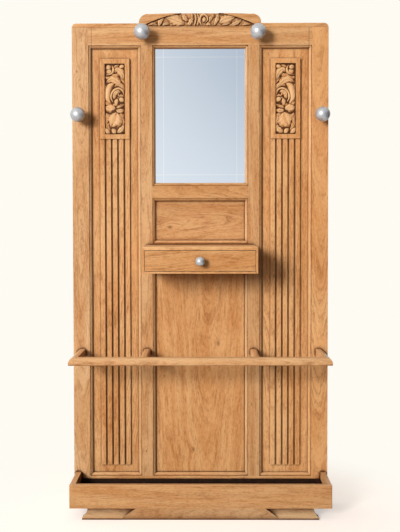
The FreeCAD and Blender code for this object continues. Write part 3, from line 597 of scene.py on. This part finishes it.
# %% Boards of the frame
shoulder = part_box("left_stile")[1].x
under_cap = (2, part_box("left_cap")[0].z)
top_board = ("crosswise", (2.4, 0.3, 1.9), (1.85, 0.12))
print("shoulders at", round(shoulder, 4), "cap joint at", round(under_cap[1], 4))
board("oak_left_stile", ["left_stile"], shift=(3.1, 0.7, 0.4), pith=(-0.47, 0.09), tone=1.01, ripe=-0.4,
      knots=[(-0.487, 1.721, 0.006)], joints=[under_cap])
board("oak_right_stile", ["right_stile"], shift=(1.7, 2.2, 5.3), pith=(0.472, 0.06), tone=1.04, ripe=0.6,
      taper=0.05, joints=[under_cap])
board("oak_left_muntin", ["left_muntin"], shift=(0.9, 4.1, 2.6), pith=(-0.22, 0.11), tone=0.91, ripe=0.1,
      knots=[(-0.218, 0.402, 0.004), (-0.216, 0.214, 0.005)])
board("oak_right_muntin", ["right_muntin"], shift=(5.2, 1.3, 3.8), pith=(0.23, 0.12), tone=0.92, ripe=0.15,
      knots=[(0.203, 0.402, 0.006)])
board("oak_top_rail", ["top_rail", "crest_board"], *top_board, 0.95, 0.25,
      joints=[under_cap, (0, shoulder), (0, -shoulder)])
board("oak_caps", ["left_cap", "right_cap"], "crosswise", (0.2, 3.3, 4.4), (1.86, 0.25), 0.98)
board("oak_mirror_rail", ["mirror_rail"], "crosswise", (4.5, 2.3, 0.8), (1.26, 0.20), 0.87, 0.6)
board("oak_drawer_rail", ["drawer_rail"], "crosswise", (1.1, 5.2, 2.9), (0.97, 0.20), 0.97)
board("oak_bottom_rail", ["bottom_rail"], "crosswise", (3.9, 1.4, 0.1), (0.08, 0.22), 0.97)

# %% Boards of the panels and the carving
ground_depth = 7.0
block_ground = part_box("left_carved_block")[0].y + ground_depth / 1000
crest_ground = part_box("crest_board")[0].y + ground_depth / 1000
left_board = {"shift": (4.8, 0.2, 0.7), "pith": (-0.36, 0.26), "tone": 0.98, "wax": 0.6}
right_board = {"shift": (0.4, 2.9, 4.1), "pith": (0.30, 0.27), "tone": 1.05, "wax": 0.5}
board("oak_upper_panel", ["upper_centre_panel"], "crosswise", (0.6, 0.9, 3.2), (1.13, 0.07), 0.84, 0.4,
      [(1.108, -0.121, 0.010)], taper=-0.05)
board("oak_lower_panel", ["lower_centre_panel"], shift=(2.2, 3.7, 1.2), pith=(0.02, 0.10), tone=0.98,
      ripe=0.65, taper=0.06, knots=[(0.071, 0.644, 0.011), (-0.145, 0.514, 0.005), (-0.029, 0.218, 0.009)])
board("oak_left_panel", ["left_reeded_panel"], **left_board)
board("oak_right_panel", ["right_reeded_panel"], **right_board)
# The blocks get painted shade on their sunk ground, and the carving also a painted highlight on its tops.
board("oak_left_block", ["left_carved_block"], sunk=block_ground, **left_board)
board("oak_right_block", ["right_carved_block"], sunk=block_ground, **right_board)
carved_oak = {
    "left": oak("oak_left_carving", sunk=block_ground, carved=True, **left_board),
    "right": oak("oak_right_carving", sunk=block_ground, carved=True, **right_board),
    "crest": oak("oak_crest_carving", *top_board, 0.90, 0.3, sunk=crest_ground, carved=True),
}
print("oak for the carving:", ", ".join(carved_oak))

# %% Boards of the drawer, its case, the rail, the trough and the foot
board("oak_drawer_front", ["drawer_front", "drawer_back"],
      "crosswise", (3.3, 0.8, 2.1), (0.86, 0.13), 0.92, 0.65)
board("oak_drawer_sides", ["left_drawer_side", "right_drawer_side"],
      "side", (0.9, 1.8, 3.1), (0.99, 0.3))
board("oak_case_boards", ["case_top", "case_floor"],
      "crosswise", (5.1, 0.4, 1.3), (1.0, 0.3), 1.03, 0.3, wax=0.4)
board("oak_case_sides", ["left_case_side", "right_case_side", "drawer_stops"],
      "side", (2.7, 4.4, 0.9), (0.98, 0.4))
board("oak_umbrella_rail", ["umbrella_rail"], "crosswise", (1.9, 3.8, 4.9), (0.55, 0.15), 0.98, 0.0)
# Tone 1.18 makes the arms paler: painted light, for tops that face up and get little of the lamp.
board("oak_arms", ["left_outer_arm", "right_outer_arm", "left_inner_arm", "right_inner_arm"],
      "fore_and_aft", (4.2, 1.1, 0.3), (0.2, 0.55), 1.18, 0.0, wax=0.5)
board("oak_trough_front", ["trough_front"], "crosswise", (0.3, 4.7, 3.6), (0.30, 0.16), 0.90, 0.4)
board("oak_trough_sides", ["left_trough_side", "right_trough_side"],
      "side", (3.5, 2.0, 1.6), (0.09, 0.6), 0.95)
board("oak_trough_floor", ["trough_floor"], "crosswise", (1.4, 0.5, 5.0), (0.05, 0.2), 0.9)
board("oak_foot", ["foot_board"], "crosswise", (2.9, 5.4, 0.6), (0.02, 0.16), 0.85, -0.4)
board("oak_bearers", ["left_foot_bearer", "right_foot_bearer"],
      "fore_and_aft", (0.8, 3.0, 2.3), (0.4, 0.02), 0.88)
board("oak_beads", ["mirror_beads", "crest_dowels"], shift=(5.6, 2.6, 4.6), pith=(0.3, 0.3))
board("oak_thin_boards", ["mirror_back_board", "drawer_floor"],
      shift=(1.2, 4.9, 2.0), pith=(0.1, 0.5), tone=0.95)

# %% [markdown]
# ## Carving: one leaf
#
# The carver cuts a drawing into the board, lowers the ground round it by 7 mm, and models each
# leaf by itself: a crowned back, a groove for the midrib, folds that run out to the lobes, and a
# steep wall down to the ground. A height map could do that, but its walls come out jagged. So each
# leaf is lofted instead. A smooth line gives its spine, a few half widths give its outline, and a
# row of rings along the spine gives a closed solid. Where leaves overlap, the solids overlap, as
# the carver's layers do. The scalloped edge and the folds share one wave, so every fold ends in
# a lobe. Heights and depths are in millimetres, for a leaf whose own crown, fold or midrib is 1.

# %% One leaf
leaf_rows = 53
leaf_columns = 19
into_ground = 0.5
widening = 1.22
narrowest = 0.4
spine_share = 0.5
lowering = 1.4
crown_height = 3.3
fold_height = 2.0
fold_slant = 0.16
midrib_depth = 2.0
midrib_width = 0.15
edge_drop = 0.9


def smooth_line(points, stations):
    """Points on a smooth line through the given points. A station runs from 0 to 1 along it."""
    known = np.array(points, float)
    known = np.vstack([2 * known[0] - known[1], known, 2 * known[-1] - known[-2]])
    step = np.clip(stations, 0, 1 - 1e-9) * (len(points) - 1)
    first = step.astype(int)
    part = (step - first)[:, None]
    a, b, c, d = (known[first + i] for i in range(4))
    bend = (2 * a - 5 * b + 4 * c - d) * part ** 2 + (3 * b - a - 3 * c + d) * part ** 3
    return 0.5 * (2 * b + (c - a) * part + bend)


def leaf(spine, half_widths, crown=1.6, lobes=0, midrib=0.7, notch=0.32, fold=0.8):
    """Rings of a carved leaf in millimetres: across, up, and out from the ground."""
    station = 0.5 - 0.5 * np.cos(np.pi * np.linspace(0, 1, leaf_rows))
    line = smooth_line(spine, station)
    half = np.maximum(widening * smooth_line([(w,) for w in half_widths], station), narrowest)
    rounded_end = np.sqrt(np.clip(1 - np.abs(2 * station - 1) ** 5, 0.004, 1))[:, None]
    way = np.gradient(line[:, :2], axis=0)
    way /= np.linalg.norm(way, axis=1)[:, None]
    sideways = np.stack([-way[:, 1], way[:, 0]], 1)
    across = np.sin(np.linspace(-np.pi / 2, np.pi / 2, leaf_columns))[None, :]
    edge_wave = np.abs(np.sin(np.pi * lobes * station))[:, None] ** 0.7 if lobes else 1.0
    reach = half * rounded_end * (1 - notch * np.abs(across) * (1 - edge_wave)) * across
    slant = station[:, None] + fold_slant * (1 - np.abs(across))
    wave = np.abs(np.sin(np.pi * lobes * slant)) if lobes else 0.5
    groove = midrib_depth * midrib * np.exp(-(across / midrib_width) ** 2) * rounded_end
    out = spine_share * line[:, 2:] - lowering + crown_height * rounded_end * crown * (1 - across ** 2)
    out = out + rounded_end * fold_height * fold * (wave - 0.5) * np.abs(across) ** 0.7
    out = out - groove - edge_drop * np.abs(across) ** 9
    top = np.stack([line[:, :1] + reach * sideways[:, :1], line[:, 1:2] + reach * sideways[:, 1:], out], 2)
    foot = top[:, [-1, 0]].copy()
    foot[:, :, 2] = -into_ground
    return np.concatenate([top, foot], 1)


sample = leaf([(0, 0, 2), (10, 5, 3), (20, 4, 2)], (1, 6, 1), lobes=3)
print("one leaf:", sample.shape[0], "rings of", sample.shape[1], "points")

# %% [markdown]
# ## Carving: many leaves in a sunk field
#
# A field of carving is a list of leaves on one ground. The carver can't cut outside the field, so
# every point is brought back inside its outline, and none stands higher than the face of the board.

# %% Leaves into a mesh
below_face = 0.1


def carve(name, leaves, keep_inside, place, material):
    """Cuts a list of leaves and sets them on the stand."""
    points, faces = [], []
    for shape in leaves:
        rings = leaf(*shape)
        rows, around = rings.shape[:2]
        start = len(points)
        flat = rings.reshape(-1, 3)
        flat[:, 2] = np.minimum(flat[:, 2], ground_depth - below_face)
        points.extend(place(*p) for p in keep_inside(flat))
        for i in range(rows - 1):
            for j in range(around):
                a, b = start + i * around, start + i * around + around
                k = (j + 1) % around
                faces.append((a + j, a + k, b + k, b + j))
        faces.append([start + j for j in range(around)])
        faces.append([start + (rows - 1) * around + j for j in range(around)])
    mesh = bpy.data.meshes.new(name)
    mesh.from_pydata(points, [], faces)
    work = bmesh.new()
    work.from_mesh(mesh)
    bmesh.ops.remove_doubles(work, verts=work.verts, dist=1e-6)
    bmesh.ops.recalc_face_normals(work, faces=work.faces)
    work.to_mesh(mesh)
    work.free()
    mesh.shade_smooth()
    mesh.set_sharp_from_angle(angle=math.radians(50))
    mesh.materials.append(material)
    piece = bpy.data.objects.new(name, mesh)
    bpy.context.scene.collection.objects.link(piece)
    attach(piece, "stand")
    print(name, "has", len(leaves), "leaves and", len(mesh.polygons), "faces")


# %% [markdown]
# ## The two vignettes
#
# At the top of each side panel a small upright field holds a flower, a fan of a leaf, a big
# scroll that curls round a second flower, a pair of leaves, a broad veined leaf and a few small
# ones in the corners. Low flat leaves, the last ten of the list, fill the gaps. The right vignette
# is the left one seen in a mirror. Places are in millimetres from the lower outer corner of the
# field. Each leaf has its spine, as across, up and out, then its half widths, its crown, its lobes
# and what else differs from a plain leaf. The list is the drawing: any leaf can be moved or bent
# by hand, which a generated pattern doesn't allow.

# %% Vignettes
field_rim = 0.019
field_width = 80.0
field_height = 278.0
from_wall = 0.3
vignette = [
    ([(2, 199, 1.5), (4, 186, 2.2), (5, 172, 1.5)], (1.5, 3.6, 1.5), 1.0),
    ([(58, 261, 2.6), (68, 266, 3.6), (77, 270, 2.6)], (5, 8, 6), 1.8, 0, 0.3),
    ([(34, 262, 2.2), (45, 267, 3.2), (58, 273, 2.4)], (2, 5, 2), 1.4),
    ([(9, 270, 2.8), (16, 263, 3.8), (23, 256, 3.0)], (6, 9, 7), 2.0, 0, 0.9),
    ([(26, 254, 3.4), (19, 247, 4.2), (8, 244, 3.0)], (5, 9, 7), 1.9, 0, 0.8),
    ([(29, 271, 4.2), (35, 254, 5.4), (27, 240, 5.2), (5, 233, 3.0)], (2.5, 5, 5, 2), 1.2, 0, 0.0),
    ([(42, 230, 1.8), (50, 222, 2.4), (60, 214, 1.8)], (2, 5, 2), 1.2),
    ([(39, 243, 2.6), (51, 254, 4.6), (64, 244, 5.0), (72, 228, 4.4), (75, 210, 2.6)],
     (4, 11, 12, 9, 2), 1.7, 3, 0.9, 0.2),
    ([(78, 240, 1.4), (76, 222, 2.2), (78, 206, 1.4)], (1, 3, 1), 1.0),
    ([(66, 188, 2.4), (51, 205, 4.4), (31, 215, 4.8), (5, 205, 2.4)],
     (8, 13, 14, 3), 1.6, 5, 0.9, 0.3, 1.2),
    ([(39, 202, 3.4), (22, 190, 5.0), (13, 166, 5.4), (12, 140, 5.0), (26, 118, 3.0)],
     (6, 10, 12, 10, 3), 1.5, 0, 0.0),
    ([(39, 189, 3.4), (55, 196, 4.4), (70, 188, 4.4), (79, 170, 3.0)], (4, 7, 7, 3), 1.6, 0, 0.9),
    ([(38, 138, 2.0), (39, 156, 3.6), (50, 168, 4.2), (64, 165, 2.6)], (5, 9, 9, 3), 1.8, 3, 0.8, 0.2),
    ([(34, 125, 4.4), (26, 142, 5.6), (28, 160, 6.0), (40, 175, 6.0), (58, 180, 5.8), (72, 171, 5.2),
      (76, 152, 3.4)],
     (2.5, 4.2, 4.6, 4.6, 4.4, 4.2, 2.2), 1.5, 0, 0.0),
    ([(63, 169, 4.4), (54, 163, 5.2), (56, 153, 5.2), (65, 154, 4.2)], (1.5, 2.6, 2.6, 1.5), 1.2, 0, 0.0),
    ([(52, 141, 3.4), (47, 129, 4.6), (46, 112, 2.8)], (3.5, 8, 4), 2.0, 0, 0.7),
    ([(56, 143, 3.4), (66, 137, 4.8), (75, 128, 3.0)], (4, 9.5, 5), 2.0, 0, 0.7),
    ([(54, 148, 3.0), (66, 152, 3.6), (77, 147, 2.2)], (3, 5, 2), 1.4, 0, 0.5),
    ([(51, 146, 4.6), (54, 143.5, 5.2), (57, 141, 4.6)], (2.4, 3.0, 2.4), 1.4, 0, 0.0),
    ([(60, 118, 1.8), (68, 114, 2.4), (78, 118, 1.6)], (2, 4, 2), 1.2),
    ([(44, 99, 3.6), (31, 103, 5.0), (16, 103, 4.8), (1, 108, 2.4)], (3, 12, 14, 4), 1.8, 3, 0.9, 0.16),
    ([(44, 102, 3.4), (57, 108, 4.6), (74, 112, 2.6)], (2, 5.5, 2), 1.5),
    ([(44, 96, 3.8), (59, 92, 5.0), (77, 95, 2.6)], (2, 9.5, 4), 1.8, 2, 0.9, 0.2),
    ([(5, 84, 2.0), (13, 73, 3.2), (25, 76, 2.4)], (2.5, 6, 2.5), 1.5),
    ([(47, 88, 4.2), (43, 67, 4.6), (36, 48, 4.6), (24, 27, 2.8)], (4, 29, 27, 3), 1.6, 5, 1.4, 0.24, 1.1),
    ([(76, 77, 2.4), (71, 62, 3.4), (76, 49, 3.4), (71, 32, 2.2)], (2, 4.6, 4.6, 2), 1.3, 0, 0.5),
    ([(3, 56, 1.6), (5, 42, 2.4), (4, 30, 1.6)], (1.5, 4, 1.5), 1.0),
    ([(3, 26, 3.0), (8, 13, 4.4), (20, 3, 3.0)], (4, 9, 5), 1.9, 0, 0.8),
    ([(27, 22, 2.8), (36, 13, 4.2), (42, 2, 3.0)], (3.5, 8.5, 6), 1.9, 0, 0.8),
    ([(48, 6, 3.0), (62, 15, 4.6), (71, 26, 4.0), (77, 40, 2.4)], (3, 10, 8, 2), 1.8, 3, 0.9, 0.2),
    ([(28, 236, 1.4), (42, 231, 2.4), (58, 238, 1.4)], (4, 9, 4), 1.1, 3, 0.6),
    ([(62, 224, 1.4), (72, 214, 2.2), (79, 198, 1.2)], (3, 8, 3), 1.1, 3, 0.6),
    ([(1, 226, 1.0), (14, 222, 2.0), (28, 227, 1.0)], (2, 6, 2), 1.1, 2, 0.5),
    ([(64, 200, 1.4), (73, 190, 2.2), (79, 176, 1.2)], (3, 7, 3), 1.2, 2, 0.6),
    ([(2, 128, 1.2), (11, 121, 2.2), (24, 112, 1.2)], (3, 8, 3), 1.1, 3, 0.6),
    ([(28, 113, 1.2), (42, 117, 2.0), (57, 113, 1.2)], (3, 6, 3), 1.1, 2, 0.5),
    ([(60, 84, 1.6), (67, 70, 2.6), (60, 48, 1.4)], (4, 10, 4), 1.2, 4, 0.7),
    ([(3, 78, 1.4), (9, 60, 2.4), (5, 38, 1.4)], (3, 8, 3), 1.2, 3, 0.6),
    ([(16, 46, 1.4), (12, 30, 2.2), (22, 14, 1.4)], (3, 8, 3), 1.2, 3, 0.6),
    ([(48, 28, 1.4), (57, 38, 2.2), (67, 50, 1.4)], (3, 8, 3), 1.1, 3, 0.6),
]


def inside_field(points):
    """Brings points back into the upright field."""
    points[:, 0] = np.clip(points[:, 0], from_wall, field_width - from_wall)
    points[:, 1] = np.clip(points[:, 1], from_wall, field_height - from_wall)
    return points


for side, sign in (("left", -1), ("right", 1)):
    low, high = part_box(side + "_carved_block")
    outer = low.x + field_rim if sign < 0 else high.x - field_rim
    ground_y = low.y + ground_depth / 1000

    def in_vignette(across, up, out, outer=outer, sign=sign, low=low, ground_y=ground_y):
        """Millimetres in the field, turned into a place on the stand in metres."""
        return (outer - sign * across / 1000, ground_y - out / 1000, low.z + field_rim + up / 1000)

    carve(side + "_vignette_carving", vignette, inside_field, in_vignette, carved_oak[side])

# %% [markdown]
# ## The crest
#
# The crest carries a long low field under a flat arch. Leaves run out to both sides from a round
# scroll and a pair of curved stems near its middle, and grow smaller towards the ends. The same
# leaves and the same `carve` make it, and only the outline that keeps the points inside is another.
# Places are in millimetres from the middle of the field's straight lower edge.

# %% Crest carving
arch_half = 232.0
arch_radius = 500.64
arch_lift = 3.0
arch_centre = -math.sqrt(arch_radius ** 2 - arch_half ** 2)
from_arch = 0.4
from_top = 0.2
crest_low, crest_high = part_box("crest_board")
crest_top = (crest_high.z - crest_low.z) * 1000 - arch_lift - from_top
crest = [
    ([(-208, 2, 1.6), (-190, 10, 3.4), (-167, 15, 2.4)], (1, 5.5, 2), 1.5, 3, 0.6),
    ([(-188, 1, 2.4), (-177, 8, 3.8), (-164, 4, 2.4)], (2, 4.5, 2), 1.3),
    ([(-163, 0, 2.6), (-156, 18, 4.6), (-141, 35, 2.4)], (4, 9.5, 2), 1.7, 3, 0.8),
    ([(-150, 1, 2.4), (-135, 11, 4.0), (-118, 8, 2.4)], (3, 7, 2), 1.5, 2, 0.7),
    ([(-72, 27, 2.4), (-94, 39, 4.0), (-124, 44, 2.4)], (6, 8, 2), 1.5, 3, 0.7),
    ([(-60, 9, 2.6), (-84, 18, 5.0), (-109, 28, 5.0), (-137, 36, 2.4)],
     (7, 17, 14, 2), 1.7, 5, 1.1, 0.22, 1.1),
    ([(-66, 48, 3.0), (-59, 32, 5.0), (-46, 20, 3.0)], (5, 10, 3), 1.8, 3, 0.9),
    ([(-26, 36, 2.8), (-36, 20, 4.8), (-46, 2, 3.0)], (3, 10, 6), 1.8, 3, 0.9),
    ([(-34, 52, 2.4), (-30, 40, 3.6), (-32, 28, 2.4)], (3, 5, 2), 1.4),
    ([(-22, 53, 3.8), (-16, 31, 5.4), (-22, 0, 3.8)], (3.4, 4.2, 3.6), 1.2, 0, 0.0),
    ([(-11, 53, 3.4), (-5, 29, 5.0), (-11, 0, 3.4)], (3.2, 4.0, 3.4), 1.2, 0, 0.0),
    ([(16, 37, 3.2), (17, 27, 4.4), (13, 16, 3.0)], (5, 8, 5), 1.9, 0, 0.6),
    ([(8, 1, 4.4), (-1, 22, 5.8), (6, 43, 5.8), (22, 44, 5.4), (30, 28, 4.8), (20, 12, 3.4)],
     (4, 5.2, 5.0, 4.6, 4.2, 2.0), 1.5, 0, 0.0),
    ([(26, 1, 3.4), (33, 10, 5.0), (42, 1, 3.4)], (4, 6, 4), 1.8, 0, 0.6),
    ([(36, 13, 2.6), (43, 32, 4.6), (59, 48, 2.8)], (2.5, 7, 3), 1.6, 3, 0.8),
    ([(56, 51, 2.4), (52, 40, 3.2), (55, 30, 2.0)], (3, 5, 2), 1.2),
    ([(71, 50, 3.0), (67, 27, 5.0), (55, 1, 3.0)], (4, 8, 3.5), 1.7, 3, 0.9),
    ([(84, 5, 2.4), (104, 10, 4.0), (124, 15, 2.2)], (3, 7, 2), 1.5, 3, 0.7),
    ([(75, 12, 3.0), (97, 25, 5.0), (118, 32, 5.0), (142, 35, 2.4)],
     (5, 17, 14, 2), 1.7, 5, 1.1, 0.22, 1.1),
    ([(80, 46, 2.4), (97, 47, 3.2), (118, 43, 2.0)], (2, 4, 1.5), 1.2),
    ([(112, 1, 2.4), (141, 11, 4.4), (168, 27, 2.2)], (3, 9, 2), 1.7, 4, 0.8),
    ([(166, 1, 2.4), (179, 9, 3.8), (203, 8, 1.8)], (3, 6.5, 1.5), 1.5, 3, 0.6),
]


def inside_arch(points):
    """Brings points back under the arch and under the top edge of the board."""
    up = points[:, 1] - arch_centre
    far = np.hypot(points[:, 0], up)
    shrink = np.minimum(1.0, (arch_radius - from_arch) / far)
    points[:, 0] *= shrink
    points[:, 1] = np.clip(arch_centre + up * shrink, from_wall, crest_top)
    return points


def on_crest(across, up, out):
    """Millimetres in the field, turned into a place on the stand in metres."""
    return (across / 1000, crest_low.y + (ground_depth - out) / 1000, crest_low.z + (arch_lift + up) / 1000)


carve("crest_carving", crest, inside_arch, on_crest, carved_oak["crest"])

# %% [markdown]
# ## Metal, glass and the tray
#
# The balls are aluminium, blasted to a satin skin, so they show a soft bright side and a grey one
# and no sharp reflection. The mirror is old plate with a line engraved inside its edges. The tray
# in the trough is sheet metal under dark brown paint. Fine noise does for grit and tarnish, and
# the engraving is drawn by measuring how far a point lies from each line.

# %% Satin aluminium
material, tree, shader = new_material("satin_aluminium")
place = object_place(tree)
grit = stretched_noise(tree, place, (2600.0, 2600.0, 2600.0), 2.0, 0.6)
cloud = stretched_noise(tree, place, (60.0, 60.0, 60.0), 3.0, 0.6)
clouded = soft_step(tree, cloud, 0.35, 0.7)
feed(shader.inputs["Base Color"], mix_colour(tree, clouded, screen(192, 195, 201), screen(178, 182, 190)))
feed(shader.inputs["Metallic"], 0.55)
feed(shader.inputs["Specular IOR Level"], 0.5)
feed(shader.inputs["Roughness"], calc(tree, "ADD", calc(tree, "MULTIPLY", grit, 0.12), 0.36))
bump = add(tree, "ShaderNodeBump", (0.15, 0.00008))
feed(bump.inputs["Height"], grit)
feed(shader.inputs["Normal"], bump.outputs[0])
balls = [level + "_" + side + "_ball" for level in ("upper", "lower") for side in ("left", "right")]
cover(balls + ["drawer_knob", "peg_stems"], material)

# %% Screws and tray
material, tree, shader = new_material("steel_screws")
tarnish = stretched_noise(tree, object_place(tree), (500.0, 500.0, 500.0), 3.0, 0.6)
feed(shader.inputs["Base Color"], mix_colour(tree, tarnish, screen(176, 172, 166), screen(120, 112, 102)))
feed(shader.inputs["Metallic"], 1.0)
feed(shader.inputs["Roughness"], calc(tree, "ADD", calc(tree, "MULTIPLY", tarnish, 0.3), 0.3))
cover(["case_screws", "knob_screw"], material)

material, tree, shader = new_material("tray_paint")
worn = stretched_noise(tree, object_place(tree), (40.0, 40.0, 40.0), 4.0, 0.6)
patchy = soft_step(tree, worn, 0.35, 0.7)
feed(shader.inputs["Base Color"], mix_colour(tree, patchy, screen(32, 17, 9), screen(46, 26, 14)))
feed(shader.inputs["Roughness"], calc(tree, "ADD", calc(tree, "MULTIPLY", worn, 0.2), 0.5))
feed(shader.inputs["Specular IOR Level"], 0.1)
cover(["drip_tray"], material)

# %% Mirror
silver = (0.744, 0.834, 0.974, 1.0)
frosted = (0.86, 0.93, 1.0, 1.0)
hidden_edge = 0.008
engraving_inset = 0.032
half_line = 0.0011


def line_at(tree, coordinate, where):
    """1 on a fine line at this height or place across, 0 beside it."""
    away = calc(tree, "ABSOLUTE", calc(tree, "SUBTRACT", coordinate, where))
    return soft_step(tree, away, half_line * 1.3, half_line * 0.7)


material, tree, shader = new_material("mirror_glass")
low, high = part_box("mirror_glass")
margin = hidden_edge + engraving_inset
parts = split(tree, object_place(tree))
engraved = line_at(tree, parts[0], low.x + margin)
for axis, where in ((0, high.x - margin), (2, high.z - margin), (2, low.z + margin)):
    engraved = calc(tree, "MAXIMUM", engraved, line_at(tree, parts[axis], where))
feed(shader.inputs["Base Color"], mix_colour(tree, engraved, silver, frosted))
feed(shader.inputs["Metallic"], 1.0)
feed(shader.inputs["Roughness"], calc(tree, "ADD", calc(tree, "MULTIPLY", engraved, 0.12), 0.02))
cover(["mirror_glass"], material)
